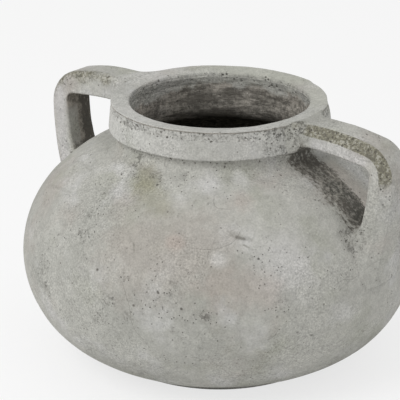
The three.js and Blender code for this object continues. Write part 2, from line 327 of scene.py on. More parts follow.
def arm_grime(nodes, place, ragged, crumbs, grit):
    """Where dark dirt lies on the shoulder under the handles' arms, and how thick it is there."""
    x, y, z = nodes.parts(place)
    out = nodes.maths("ABSOLUTE", x)
    across = y * nodes.maths("SIGN", x)
    brushed = nodes.noise(place * (0.12, 1.0, 0.12), 2.5 * MM, 4.0, 35.0, roughness=0.7) - 0.5
    torn = ragged * 26 * MM + crumbs * 5 * MM
    drawn = brushed * 36 * MM + crumbs * 6 * MM
    there = nodes.smooth(across + torn, 17 * MM, 14 * MM)
    there = there * nodes.smooth(across + drawn, -22 * MM, -11 * MM)
    there = there * nodes.smooth(out + torn, 88 * MM, 95 * MM)
    there = there * nodes.smooth(out + torn, 168 * MM, 160 * MM)
    there = there * nodes.smooth(z, 130 * MM, 145 * MM)
    above = z + 0.8 * out - 285 * MM - 12 * MM * nodes.smooth(out, 116 * MM, 102 * MM)
    there = there * nodes.smooth(above, 16 * MM, 8 * MM)
    ends = nodes.smooth(out, 116 * MM, 100 * MM) + nodes.smooth(out, 126 * MM, 146 * MM)
    thick = 0.38 + 0.34 * nodes.smooth(across, -16 * MM, 2 * MM) + 0.25 * ends
    grainy = ragged * 1.1 + brushed * 1.1 + crumbs * 0.6 + (0.5 - grit) * 1.8
    return there, thick + grainy


def cement(name, light, dark, stains=(), scuffs=(), grimy_arms=False):
    """Weathered cement: smooth grey with soft tints and fine grain, clusters of pits, hairlines, and dark
    where dirt gathers and where shade is painted in, deeper in the mouth, on the handles' inner faces and
    under the collar, with painted light on the mouth's pale lip and left inner wall. A stain has a colour,
    a share, a reach, and one place or the two ends of a line. A scuff has a reach and a place."""
    material = bpy.data.materials.new(name)
    material.use_nodes = True
    nodes = Nodes(material.node_tree)
    place = nodes.add("ShaderNodeTexCoord", output="Object")
    zones = nodes.add("ShaderNodeAttribute", {"attribute_name": "zones"}, {}, "Vector")
    dirt_and_shade_share, worn, mossy = nodes.parts(zones)
    x, y, z = nodes.parts(place)
    ragged = nodes.noise(place, 9 * MM, 7.0, 20.0, roughness=0.7) - 0.5
    mottle = nodes.noise(place, 3 * MM, 4.0, 22.0, roughness=0.6)
    crumbs = nodes.smooth(nodes.noise(place, 2 * MM, 3.0, 39.0, roughness=0.7), 0.4, 0.6) - 0.5
    grit = nodes.noise(place, 1.1 * MM, 2.0, 36.0, roughness=0.6)
    speckle = nodes.noise(place, 0.8 * MM, 2.0, 33.0, roughness=0.7)

    # Greys, soft tints and single stains
    cloud = nodes.noise(place, 40 * MM, 4.0, 21.0)
    colour = nodes.mix(nodes.smooth(cloud, 0.38, 0.62), dark, light)
    for tint, feature, seed, share in soft_tints:
        patch = nodes.smooth(nodes.noise(place, feature, 5.0, seed, roughness=0.55), 0.5, 0.7)
        colour = nodes.mix(patch * share, colour, tint)
    for tint, share, reach, *ends in stains:
        off = nodes.off_line(place, ends[0], ends[-1]) + ragged * (1.6 * reach)
        colour = nodes.mix(nodes.smooth(off, reach * 1.2, reach * 0.2) * share, colour, tint)

    # The mouth: warm and soiled inside, rubbed at the sides, with a pale lip; painted light on the lip and
    # the left inner wall
    in_mouth = nodes.smooth(nodes.off_axis(place), *mouth_zone)
    inside = nodes.smooth(dirt_and_shade_share, 0.1, 0.3)
    sideways = (x * math.cos(rim_turn) + y * math.sin(rim_turn)) / throat_radius
    left_side = nodes.smooth(sideways, -0.4, -0.95)
    # Painted light: the upper inner wall, where it is lit, is painted pale, and the pale band reaches
    # deeper on the left
    lip = z + ragged * 34 * MM + left_side * 8 * MM
    pale_lit_lip = nodes.smooth(lip, rim_height - 17 * MM, rim_height - 12 * MM) * in_mouth * 0.85
    # The throat's sides are rubbed and carry less dirt; the left inner wall is painted lighter still, as
    # painted light
    rubbed_and_lit = nodes.maths("MINIMUM", sideways * sideways, 1.0) * in_mouth * (0.55 + 0.3 * left_side)
    colour = nodes.mix(inside * (0.55 - 0.55 * pale_lit_lip), colour, throat_tint)
    colour = nodes.mix(pale_lit_lip * inside * 0.6, colour, lit_lip_tint)

    # Moss, sand and scuffs
    moss = nodes.smooth(mossy + ragged * 1.6, 0.25, 0.7)
    colour = nodes.mix(moss * 0.9, colour, moss_green)
    colour = nodes.mix(nodes.smooth(mottle, 0.25, 0.75), colour * 0.9, colour * 1.09)
    sandy = nodes.smooth(nodes.noise(place, 24 * MM, 5.0, 38.0, roughness=0.6), 0.4, 0.62)
    sand = nodes.smooth(speckle, 0.2, 0.8) - 0.5
    colour = colour * (1.0 + sand * (0.3 + 0.45 * sandy))
    scuff = 0.0
    for reach, spot in scuffs:
        off = nodes.off_line(place, spot, spot) + ragged * reach
        scuff = scuff + nodes.smooth(off, reach * 1.2, reach * 0.5)
    scuff = nodes.maths("MINIMUM", scuff, 1.2)
    gritty = nodes.maths("MINIMUM", worn + moss * 1.2 + scuff * 0.45, 1.0)
    colour = nodes.mix(nodes.smooth(grit, 0.48, 0.38) * gritty * 0.45, colour, pale_grain)

    # Dark marks: pits in clusters, scratches and hairlines
    cluster = nodes.smooth(nodes.noise(place, 22 * MM, 4.0, 26.0), 0.52, 0.7)
    cluster = nodes.maths("MINIMUM", cluster + scuff + worn * 1.3 + moss * 0.5 + inside * 0.5, 1.6)
    small = nodes.pits(place, 2 * MM, 1.3 * MM, cluster * 0.24 + 0.02, 27.0)
    large = nodes.pits(place, 5 * MM, 2.5 * MM, cluster * 0.12 + 0.008, 28.0)
    apart, size, share, seed = worn_pits
    deep = nodes.pits(place, apart, size, worn * share, seed)
    pitted = nodes.maths("MAXIMUM", nodes.maths("MAXIMUM", small, large), deep)
    scuffed = nodes.noise(place, 4 * MM, 6.0, 34.0, roughness=0.8) + cluster * 0.05
    scuffed = nodes.smooth(scuffed, 0.58, 0.68) * (0.22 + 0.15 * cluster + 0.2 * scuff)
    wander = nodes.maths("ABSOLUTE", nodes.noise(place, 48 * MM, 2.0, 29.0) - 0.5)
    seldom = nodes.smooth(nodes.noise(place, 30 * MM, 2.0, 30.0), 0.52, 0.62)
    hairline = nodes.smooth(wander, 0.003, 0.0) * seldom
    marks = nodes.maths("MAXIMUM", pitted * 0.8, nodes.maths("MAXIMUM", scuffed, hairline * 0.3))
    marks = nodes.maths("MAXIMUM", marks, nodes.smooth(grit, 0.51, 0.6) * gritty * 0.6)

    # Dirt and painted shade: smeared round in the mouth, running down elsewhere, and brushed out under the
    # arms
    # The painted shade lies deeper in the mouth, on the handles' inner faces and under the collar's
    # overhang
    streak = nodes.noise(place * (1.0, 1.0, 3.0), 20 * MM, 7.0, 31.0, roughness=0.66)
    scraped = nodes.noise(place * (1.0, 1.0, 5.0), 8 * MM, 5.0, 37.0, roughness=0.65)
    smeared = 0.05 + 0.9 * nodes.smooth(streak, 0.41, 0.59) + 0.5 * nodes.smooth(scraped, 0.4, 0.6)
    upright = nodes.noise(place * (1.0, 1.0, 0.15), 2.5 * MM, 4.0, 40.0, roughness=0.6) - 0.5
    smeared = smeared * in_mouth + (0.75 + upright * 2.2 + crumbs * 0.3) * (1.0 - in_mouth)
    broken = ragged * (0.9 + 0.5 * rubbed_and_lit) + crumbs * (0.3 + 0.35 * rubbed_and_lit)
    # The dirt here also carries the painted shade, and there is none on the pale lit lip
    grime_and_shade = (dirt_and_shade_share * smeared * (1.0 - rubbed_and_lit) * 1.22 + broken * inside) * (1.0 - pale_lit_lip)
    colour = colour * (1.0 - (crumbs * 0.6 + ragged * 1.4) * rubbed_and_lit * inside)
    if grimy_arms:
        there, thick = arm_grime(nodes, place, ragged, crumbs, grit)
        grime_and_shade = grime_and_shade + there * thick
        colour = nodes.mix(there * 0.4, colour, arm_tint)
    grime_and_shade = nodes.maths("MINIMUM", nodes.maths("MAXIMUM", grime_and_shade, 0.0), 0.94 - 0.07 * in_mouth)
    # The dark colour of dirt, also used for painted shade
    black = nodes.mix(nodes.smooth(streak, 0.4, 0.6), soot_and_shade_black, dirt_and_shade_brown) * (0.55 + 0.9 * grit)
    colour = nodes.mix(nodes.maths("MAXIMUM", marks, grime_and_shade), colour, black)

    # Fine relief
    dented = nodes.noise(place, 7 * MM, 3.0, 32.0)
    height = mottle * 0.4 + speckle * 0.4 + dented * 0.4 + grit * gritty * -0.5
    height = height - pitted * 0.9 - hairline * 0.3 - scuffed * 0.7
    height = height + inside * in_mouth * (streak * 3.0 + scraped * 1.5)
    normal = nodes.add("ShaderNodeBump", {}, {"Strength": 1.0, "Distance": 0.7 * MM, "Height": height})
    looks = {"Base Color": colour, "Roughness": 0.8 + speckle * 0.15, "Normal": normal}
    shader = nodes.add("ShaderNodeBsdfPrincipled", {}, looks | {"Specular IOR Level": 0.3})
    nodes.add("ShaderNodeOutputMaterial", {}, {"Surface": shader})
    return material


hand_worked = hand_worked_tree()
turned = turned_tree()
slab_side = slab_radius - 0.5 * MM
edge_centre = (slab_side - slab_edge_round, slab_edge_round)
recess_radius = slab_radius - standing_ring
floor_slab = turned_piece(
    "slab_of_cement",
    [
        stroke([(0, recess_depth), (recess_radius, recess_depth)], 3 * MM),
        stroke([(recess_radius, recess_depth), (recess_radius + recess_depth, 0)], 1 * MM),
        stroke([(recess_radius + recess_depth, 0), (edge_centre[0], 0)], 1.6 * MM),
        stroke(arc(edge_centre, slab_edge_round, -90, 0), 0.6 * MM),
        stroke([(slab_side, slab_edge_round), (slab_side, slab_top)], 1 * MM),
        stroke([(slab_side, slab_top), (plug_radius, slab_top)], 4 * MM),
        stroke([(plug_radius, slab_top), (plug_radius, inside_floor)], 4 * MM),
        stroke([(plug_radius, inside_floor), (0, inside_floor)], 4 * MM, 1.0),
    ],
    slab_turns,
    cement("slab_cement", slab_light, slab_dark),
)
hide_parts("floor_slab")
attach(floor_slab, "root")

# Lower bowl
# The underbelly, pressed in a round mould out of cement and stood on the slab. Its wall ends in a tongue at
# the widest place, which the upper bowl laps over, and the seam is smoothed away with wet cement.
allowance = 0.8 * MM  # the dressed faces lie this far inside the solids, so that the lumps stay within them
belly_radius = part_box("upper_bowl")[1].x - allowance
belly_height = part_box("upper_bowl")[0].z
wall = 12 * MM
floor_radius = 90 * MM
underbelly_depth = 90.1 * MM
tongue_radius = 173.7 * MM
tongue_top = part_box("lower_bowl")[1].z
turns = 480
fine, coarse = 1.6 * MM, 4 * MM
olive, pink, bloom = (0.25, 0.24, 0.16, 1), (0.40, 0.335, 0.295, 1), (0.58, 0.575, 0.56, 1)
beige, lilac, scratch = (0.345, 0.322, 0.29, 1), (0.52, 0.51, 0.505, 1), (0.17, 0.165, 0.14, 1)
sandy_tint, mossy_patch = (0.47, 0.43, 0.385, 1), (0.20, 0.19, 0.14, 1)
body_light, body_dark = (0.43, 0.426, 0.392, 1), (0.34, 0.338, 0.308, 1)
body_cement = cement(
    "body_cement",
    body_light,
    body_dark,
    stains=[
        # Broad tints on the belly, the handles' faces and the shoulder under the right arm
        (beige, 0.8, 50 * MM, (0.075, -0.135, 0.155), (0.040, -0.155, 0.150)),
        (lilac, 0.5, 34 * MM, (0.141, -0.089, 0.147)),
        (lilac, 0.7, 13 * MM, (-0.183, -0.017, 0.222), (-0.176, -0.018, 0.145)),
        (lilac, 0.6, 9 * MM, (0.118, -0.018, 0.226), (0.165, -0.018, 0.220)),
        (sandy_tint, 0.6, 16 * MM, (0.115, 0.020, 0.192), (0.160, 0.020, 0.157)),
        # Moss, rust and bloom in patches
        (mossy_patch, 0.55, 5 * MM, (0.0955, -0.0165, 0.2385), (0.099, -0.008, 0.236)),
        (olive, 0.5, 15 * MM, (-0.001, -0.105, 0.197), (0.009, -0.110, 0.195)),
        (olive, 0.4, 15 * MM, (0.012, -0.118, 0.190), (0.036, -0.125, 0.183)),
        (pink, 0.5, 10 * MM, (0.065, -0.140, 0.162)),
        (pink, 0.4, 13 * MM, (0.089, -0.084, 0.188)),
        (pink, 0.35, 22 * MM, (0.108, -0.135, 0.133), (0.135, -0.111, 0.127)),
        (bloom, 0.5, 12 * MM, (0.057, -0.088, 0.197)),
        (bloom, 0.5, 9 * MM, (0.075, -0.066, 0.199)),
        (bloom, 0.45, 9 * MM, (0.101, -0.128, 0.151)),
        (bloom, 0.45, 10 * MM, (-0.012, -0.108, 0.196), (-0.026, -0.103, 0.196)),
        # A gouge and scratches in front, and long shallow scratches on the shoulder
        (dirt_and_shade_brown, 0.6, 2 * MM, (0.105, -0.108, 0.166), (0.110, -0.105, 0.165)),
        (scratch, 0.3, 3 * MM, (0.100, -0.109, 0.168), (0.115, -0.101, 0.164)),
        (scratch, 0.6, 1.2 * MM, (0.112, -0.108, 0.161), (0.116, -0.106, 0.159)),
        (scratch, 0.5, 1.1 * MM, (0.032, -0.155, 0.157), (0.036, -0.160, 0.151)),
        (scratch, 0.2, 2 * MM, (-0.084, -0.093, 0.186), (-0.059, -0.108, 0.188)),
        (scratch, 0.2, 2 * MM, (-0.109, -0.109, 0.163), (-0.064, -0.129, 0.172)),
        # Dirt at the foot of the right leg, and single holes
        (dirt_and_shade_brown, 0.15, 8 * MM, (0.155, -0.028, 0.156), (0.166, -0.016, 0.145)),
        (dirt_and_shade_brown, 0.9, 1.6 * MM, (0.046, -0.173, 0.110)),
        (dirt_and_shade_brown, 0.9, 1.8 * MM, (0.006, -0.173, 0.132)),
        (dirt_and_shade_brown, 0.9, 1.6 * MM, (-0.089, -0.097, 0.182)),
        (dirt_and_shade_brown, 0.9, 2 * MM, (-0.168, -0.022, 0.147)),
        (dirt_and_shade_brown, 0.9, 1.8 * MM, (-0.160, -0.017, 0.155)),
    ],
    scuffs=[
        # On the belly
        (5 * MM, (-0.021, -0.129, 0.183)),
        (5 * MM, (-0.017, -0.161, 0.153)),
        (5 * MM, (0.033, -0.169, 0.134)),
        (6 * MM, (0.041, -0.175, 0.099)),
        (5 * MM, (-0.057, -0.170, 0.100)),
        (7 * MM, (0.023, -0.177, 0.109)),
        (9 * MM, (-0.020, -0.161, 0.153)),
        (5 * MM, (0.035, -0.170, 0.132)),
        (7 * MM, (0.102, -0.147, 0.107)),
        (9 * MM, (0.148, -0.100, 0.113)),
        (8 * MM, (0.010, -0.179, 0.091)),
        (6 * MM, (0.022, -0.178, 0.109)),
        (5 * MM, (-0.016, -0.179, 0.094)),
        (5 * MM, (-0.056, -0.171, 0.093)),
        # At the right handle's roots, and under the collar
        (16 * MM, (0.163, -0.019, 0.150)),
        (13 * MM, (0.099, -0.022, 0.222)),
        (9 * MM, (0.104, -0.016, 0.213)),
        (7 * MM, (0.098, -0.012, 0.237)),
        (6 * MM, (0.157, -0.027, 0.156)),
        (8 * MM, (-0.014, -0.096, 0.201)),
        (7 * MM, (0.013, -0.102, 0.198)),
    ],
    grimy_arms=True,
)


def underbelly(inset, level):
    """The ellipse from a level up to the belly, set in by a depth."""
    half_axes = np.array((belly_radius - floor_radius - inset, underbelly_depth - inset))
    start = -math.degrees(math.asin(min(1, (belly_height - level) / half_axes[1])))
    return arc((floor_radius, belly_height), half_axes, start, 0)


outer = underbelly(0, slab_top)
inner = underbelly(wall, inside_floor)[::-1]
tongue_inside = (inner[0][0], tongue_top)
lower_bowl = turned_piece(
    "underbelly_bowl",
    [
        stroke(outer, fine),
        stroke([outer[-1], (tongue_radius, belly_height)], coarse),
        stroke([(tongue_radius, belly_height), (tongue_radius, tongue_top)], coarse),
        stroke([(tongue_radius, tongue_top), tongue_inside], coarse),
        stroke([tongue_inside, inner[0]], coarse, 1.0),
        stroke(inner, coarse, 1.0),
        stroke([inner[-1], (plug_radius, inside_floor)], coarse, 1.0),
        stroke([(plug_radius, inside_floor), (plug_radius, slab_top)], coarse),
        stroke([(plug_radius, slab_top), outer[0]], coarse),
    ],
    turns,
    body_cement,
)
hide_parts("lower_bowl")
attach(lower_bowl, "root")

# Upper bowl
# Belly, shoulder and short neck in one curve, coiled up in cement and scraped smooth outside. It laps over
# the lower bowl's tongue, and ends in a spigot that the collar is pressed down on.
belly_centre = (83 * MM, belly_height)
belly_arc_radius = belly_radius - belly_centre[0]
shoulder_start = 45
shoulder_arc_radius = 150 * MM - allowance
shoulder_centre = (45.52 * MM, belly_height - 37.48 * MM)
neck_radius = 94 * MM - allowance
neck_fillet = 9 * MM
spigot_radius = 88 * MM
collar_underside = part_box("rim_collar")[0].z
spigot_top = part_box("upper_bowl")[1].z
fillet_offset = neck_radius + neck_fillet - shoulder_centre[0]
fillet_reach = shoulder_arc_radius + neck_fillet
fillet_turn = math.degrees(math.acos(fillet_offset / fillet_reach))
fillet_height = shoulder_centre[1] + math.sqrt(fillet_reach**2 - fillet_offset**2)
fillet_centre = (neck_radius + neck_fillet, fillet_height)


def overbelly(inset):
    """Belly, shoulder and fillet up to the neck, set in by a depth."""
    return np.concatenate((
        arc(belly_centre, belly_arc_radius - inset, 0, shoulder_start),
        arc(shoulder_centre, shoulder_arc_radius - inset, shoulder_start, fillet_turn),
        arc(fillet_centre, neck_fillet + inset, fillet_turn + 180, 180),
    ))


outer = overbelly(0)
inner = overbelly(wall - allowance)[::-1]
inner = inner[inner[:, 1] > tongue_top]
upper_bowl = turned_piece(
    "shoulder_bowl",
    [
        stroke(outer, fine),
        # The neck under the collar is worn, with a little dirt and painted shade under the collar's
        # overhang
        stroke([outer[-1], (neck_radius, collar_underside)], fine, 0.15, 0.4),
        stroke([(neck_radius, collar_underside), (spigot_radius, collar_underside)], coarse),
        stroke([(spigot_radius, collar_underside), (spigot_radius, spigot_top)], coarse),
        stroke([(spigot_radius, spigot_top), (throat_radius, spigot_top)], coarse, 1.0),
        stroke([(throat_radius, spigot_top), inner[0]], 2 * MM, 1.0),
        stroke(inner, 3 * MM, 1.0),
        stroke([inner[-1], (tongue_radius, tongue_top)], coarse),
        stroke([(tongue_radius, tongue_top), (tongue_radius, belly_height)], coarse),
        stroke([(tongue_radius, belly_height), outer[0]], coarse),
    ],
    turns,
    body_cement,
)
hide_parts("upper_bowl")
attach(upper_bowl, "root")

# Collar
# A thick ring of cement round the mouth, pressed on to the spigot, cut flat with a trowel and dished
# towards the mouth. A line is scratched round its top edge, and the band under it is worn and pitted.
collar_top = rim_height + 0.2 * MM  # the rim's highest places, which the solid's flat top averages
collar_top_radius = 97.0 * MM
collar_foot_radius = 99.3 * MM
collar_foot = collar_underside
collar_seat = 88.2 * MM
mouth_radius = 80.2 * MM
mouth_dish = 1.7 * MM
outer_round = 0.8 * MM
inner_round = 1.8 * MM
foot_round = 1.3 * MM
scratched_line = 0.55 * MM  # depth
worn_band = (1.8 * MM, 8.3 * MM)  # from and to, down from the top
worn_depth = 0.35 * MM
collar_turns = 820
collar_light, collar_dark = (0.47, 0.467, 0.44, 1), (0.40, 0.398, 0.37, 1)
green_top, green_side, shaded_front_grey = (0.38, 0.385, 0.325, 1), (0.40, 0.40, 0.355, 1), (0.39, 0.385, 0.36, 1)
chalky = (0.56, 0.555, 0.53, 1)
collar_cement = cement(
    "collar_cement",
    collar_light,
    collar_dark,
    stains=[
        (green_top, 0.6, 26 * MM, (-0.060, 0.072, 0.240), (0.020, 0.090, 0.240)),
        # Painted shade: the collar's front, facing the camera, is painted a darker grey
        (shaded_front_grey, 0.6, 60 * MM, (0.050, -0.085, 0.226)),
        (mossy_patch, 0.55, 5 * MM, (0.0955, -0.0165, 0.2385), (0.097, -0.008, 0.236)),
        (green_side, 0.8, 24 * MM, (0.060, 0.066, 0.240), (0.075, 0.046, 0.240)),
        (chalky, 0.6, 26 * MM, (-0.075, -0.064, 0.222), (-0.050, -0.083, 0.222)),
    ],
    scuffs=[
        (18 * MM, (0.092, -0.035, 0.221)),
        (13 * MM, (0.095, -0.024, 0.230)),
        (11 * MM, (0.097, -0.018, 0.217)),
        (12 * MM, (0.094, 0.020, 0.226)),
        (6 * MM, (0.096, -0.014, 0.238)),
    ],
)


def collar_face(drop, set_in=0.0):
    """A place on the collar's outer face, a drop under its top."""
    flare = (collar_foot_radius - collar_top_radius) * drop / (collar_top - collar_foot)
    return (collar_top_radius + flare - set_in, collar_top - drop)


top_edge = arc((collar_top_radius - outer_round, collar_top - outer_round), outer_round, 0, 90)
mouth_edge = arc((mouth_radius + inner_round, collar_top - mouth_dish - inner_round), inner_round, 90, 180)
foot_edge = arc((collar_foot_radius - foot_round, collar_foot + foot_round), foot_round, -90, 0)
line_top, line_foot = collar_face(0.9 * MM), collar_face(1.7 * MM)
line_bottom = collar_face(1.25 * MM, scratched_line)
band_top, band_foot = collar_face(worn_band[0], worn_depth), collar_face(worn_band[1], worn_depth)
below_band = collar_face(worn_band[1] + 0.5 * MM)
lip_edge = (mouth_radius, spigot_top + 7 * MM)
lip_foot = (throat_radius + 0.4 * MM, spigot_top - 2 * MM)
rim_collar = turned_piece(
    "mouth_collar",
    [
        stroke([(collar_seat, collar_foot), foot_edge[0]], 1.5 * MM),
        stroke(foot_edge, 0.5 * MM),
        stroke([foot_edge[-1], below_band], 0.75 * MM),
        # Painted shade: a faint dark line at the worn band's lower edge, where its step would cast a shadow
        stroke([below_band, band_foot], 0.4 * MM, 0.16, 0.7),
        stroke([band_foot, band_top], 0.6 * MM, 0.0, 0.7),
        stroke([band_top, line_foot], 0.3 * MM, 0.4, 0.3),
        stroke([line_foot, line_bottom, line_top], 0.3 * MM, 0.9),
        stroke(top_edge, 0.4 * MM),
        stroke([top_edge[-1], mouth_edge[0]], 1 * MM),
        stroke(mouth_edge, 0.6 * MM, 0.3, 0.3),
        stroke([mouth_edge[-1], lip_edge], 0.9 * MM, 0.4, 0.5),
        stroke([lip_edge, lip_foot], 0.7 * MM, 0.8, 0.3),
        stroke([lip_foot, (collar_seat, spigot_top)], 2 * MM),
        stroke([(collar_seat, spigot_top), (collar_seat, collar_foot)], coarse),
    ],
    collar_turns,
    collar_cement,
    pit=0.7 * MM,
)
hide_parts("rim_collar")
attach(rim_collar, "root")

# Handles
# Two flat straps of cement, each bent over from the collar and pressed on to the shoulder while wet, so the
# roots spread and run out into what carries them. The outer edges are rounded, worn and mossy.
strap_width = 33.4 * MM
arm_start, leg_start, face_unit = 125 * MM, -60 * MM, 50 * MM
# The place, slope and bend of each face. The arm's are heights over the rim, and they are counted out from
# the arm's start. The leg's are distances from the axis, counted up from the leg's start, under the rim.
right_faces = {
    "arm_top": (-0.3 * MM, -1.5 * MM, -5.2 * MM),
    "arm_underside": (-19.8 * MM, -1.9 * MM, -4.3 * MM),
    "leg_inside": (169.5 * MM, 8.7 * MM, -6.6 * MM),
    "leg_outside": (190.2 * MM, 4.3 * MM, -4.9 * MM),
}
left_faces = {
    "arm_top": (0.4 * MM, -2.3 * MM, -6.0 * MM),
    "arm_underside": (-22.3 * MM, -1.8 * MM, -3.7 * MM),
    "leg_inside": (169.3 * MM, 7.6 * MM, -6.4 * MM),
    "leg_outside": (190.2 * MM, 4.3 * MM, -4.9 * MM),
}
# How far the near outer edge is rounded and worn off flat, then how mossy and worn it is, and between which
# depths under the faces the moss and wear start
right_edge, left_edge = (2.5 * MM, 8 * MM), (8 * MM, 0)
right_moss, left_moss = (1.0, 0.6, -9.5 * MM, -7 * MM), (0.55, 0.3, -17 * MM, -3 * MM)
far_edge = 3 * MM
outer_bend = 20 * MM
inner_bend = 6 * MM
strap_inner_round = 2.5 * MM
root_end = 88 * MM
root_blend = 14 * MM
sunk = 0.6 * MM
grain = 0.8 * MM
probe = 0.05 * MM
strap_box = ((86 * MM, -34 * MM, 108 * MM), (195 * MM, 34 * MM, 244 * MM))


def curve(shape, along):
    """A gently bent line, from its place, slope and bend."""
    return shape[0] + shape[1] * along + shape[2] * along**2


def both(a, b, rounding):
    """The part that is in both forms, with a rounded edge where their faces meet."""
    corner = np.hypot(np.maximum(a + rounding, 0), np.maximum(b + rounding, 0))
    return np.minimum(np.maximum(a, b), -rounding) + corner


def either(a, b, blend):
    """Both forms together, with the corner between them filled."""
    return np.minimum(a, b) - np.clip(1 - np.abs(a - b) / blend, 0, 1) ** 2 * blend / 4


def ease(value, low, high):
    """0 at low, 1 at high and an S-curve between them."""
    share = np.clip((value - low) / (high - low), 0, 1)
    return share * share * (3 - 2 * share)


def seat_distance():
    """A way to read how far places in radius and height stand off the body and the collar."""
    body = np.concatenate((underbelly(0, slab_top), overbelly(0), [(neck_radius, collar_foot)]))
    collar = np.concatenate((foot_edge, top_edge, [(0.0, collar_top)]))
    loop = np.concatenate((body, collar, [(0.0, slab_top)]))
    start, end = loop, np.roll(loop, -1, axis=0)
    low, step = np.array((60 * MM, 80 * MM)), 1 * MM
    r, z = np.meshgrid(np.arange(low[0], 215 * MM, step), np.arange(low[1], 270 * MM, step), indexing="ij")
    nearest = np.full(r.shape, np.inf)
    within = np.zeros(r.shape, bool)
    for (ar, az), (br, bz) in zip(start, end):
        run = max((br - ar) ** 2 + (bz - az) ** 2, 1e-18)
        share = np.clip(((r - ar) * (br - ar) + (z - az) * (bz - az)) / run, 0, 1)
        nearest = np.minimum(nearest, np.hypot(r - ar - share * (br - ar), z - az - share * (bz - az)))
        crosses = (az > z) != (bz > z)
        within ^= crosses & (r < ar + (br - ar) * (z - az) / (bz - az if bz != az else 1))
    table = np.where(within, -nearest, nearest)

    def read(radius, height):
        at_r, at_z = (radius - low[0]) / step, (height - low[1]) / step
        i = np.clip(at_r.astype(int), 0, table.shape[0] - 2)
        j = np.clip(at_z.astype(int), 0, table.shape[1] - 2)
        u, v = at_r - i, at_z - j
        lower = table[i, j] * (1 - u) + table[i + 1, j] * u
        upper = table[i, j + 1] * (1 - u) + table[i + 1, j + 1] * u
        return lower * (1 - v) + upper * v

    return read


seat = seat_distance()


def strap_faces(faces, x, z):
    """How far a place stands off a strap's outer face and its inner face."""
    over_rim = z - rim_height
    out, up = (x - arm_start) / face_unit, (over_rim - leg_start) / face_unit
    arm_top, leg_outside = curve(faces["arm_top"], out), curve(faces["leg_outside"], up)
    arm_underside, leg_inside = curve(faces["arm_underside"], out), curve(faces["leg_inside"], up)
    outer_face = both(over_rim - arm_top, x - leg_outside, outer_bend)
    hole = both(over_rim - arm_underside, x - leg_inside, inner_bend)
    return outer_face, -hole


def strap(faces, edge, turn, x, y, z):
    """A handle's form along +X: negative inside, in metres off its surface outside."""
    # The bare strap, with rounded long edges, of which the near outer one is also worn off flat
    outer_face, inner_face = strap_faces(faces, x, z)
    near, far = -y * turn - strap_width / 2, y * turn - strap_width / 2
    rounding = edge[0] * (0.5 + 0.5 * ease(z, 0.20, 0.225))
    bare = np.maximum(both(outer_face, near, rounding), (outer_face + near + edge[1]) / math.sqrt(2))
    bare = np.maximum(bare, both(outer_face, far, far_edge))
    bare = np.maximum(bare, both(inner_face, np.maximum(near, far), strap_inner_round))

    # The roots, run out into the body and the collar, but hardly over the collar's top
    radius = np.hypot(x, y)
    carrier = seat(radius, z)
    rooted = either(bare, carrier, root_blend)
    rise = 0.4 * ease(radius, 92 * MM, 97 * MM) + 1.0 * ease(radius, 97 * MM, 112 * MM) - 0.3
    rooted = both(rooted, z - collar_top - rise * MM, 3 * MM * ease(radius, 95 * MM, 110 * MM) + 0.1 * MM)

    # Cut off a little inside what carries it, and level with it at the very edge of the root
    skin = carrier + sunk - 0.9 * MM * ease(bare, 0.6 * root_blend, root_blend)
    return np.maximum(np.maximum(rooted, -skin), root_end - x)


def skin_of(form, low, high, step):
    """A closed skin of quads round a form, one place to a cell of a fine lattice."""
    axes = [np.arange(low[i], high[i], step) for i in range(3)]
    lattice = np.stack(np.meshgrid(*axes, indexing="ij"), -1)
    field = form(*np.moveaxis(lattice, -1, 0))
    cells = tuple(n - 1 for n in field.shape)
    total, hits, edges = np.zeros(cells + (3,)), np.zeros(cells), []
    for axis in range(3):
        order = (axis, (axis + 1) % 3, (axis + 2) % 3)
        f, points = field.transpose(order), lattice.transpose(order + (3,))
        before, after = f[:-1], f[1:]
        crossed = (before < 0) != (after < 0)
        share = np.where(crossed, before / np.where(crossed, before - after, 1), 0)[..., None]
        where = (points[:-1] * (1 - share) + points[1:] * share) * crossed[..., None]
        sums, counts = total.transpose(order + (3,)), hits.transpose(order)
        for j in (0, 1):
            for k in (0, 1):
                window = (slice(None), slice(j, j + sums.shape[1]), slice(k, k + sums.shape[2]))
                sums += where[window]
                counts += crossed[window]
        edges.append((order, crossed, before < 0))
    number = np.full(cells, -1)
    used = hits > 0
    number[used] = np.arange(used.sum())
    places = total[used] / hits[used][:, None]
    quads = []
    for order, crossed, starts_inside in edges:
        cell = number.transpose(order)
        i, j, k = np.nonzero(crossed[:, 1:-1, 1:-1])
        around = np.stack((cell[i, j, k], cell[i, j + 1, k], cell[i, j + 1, k + 1], cell[i, j, k + 1]), 1)
        forwards = starts_inside[:, 1:-1, 1:-1][i, j, k]
        quads.append(np.where(forwards[:, None], around, around[:, ::-1]))
    return places, np.concatenate(quads)


def drawn_to(form, places, rounds=3):
    """Moves places on to a form's surface."""
    for _ in range(rounds):
        value = form(*places.T)
        slope = np.stack([(form(*(places + n).T) - value) / probe for n in probe * np.eye(3)], 1)
        step = np.clip(value / np.maximum((slope**2).sum(1), 0.2), -grain / 3, grain / 3)
        places = places - slope * step[:, None]
    return places


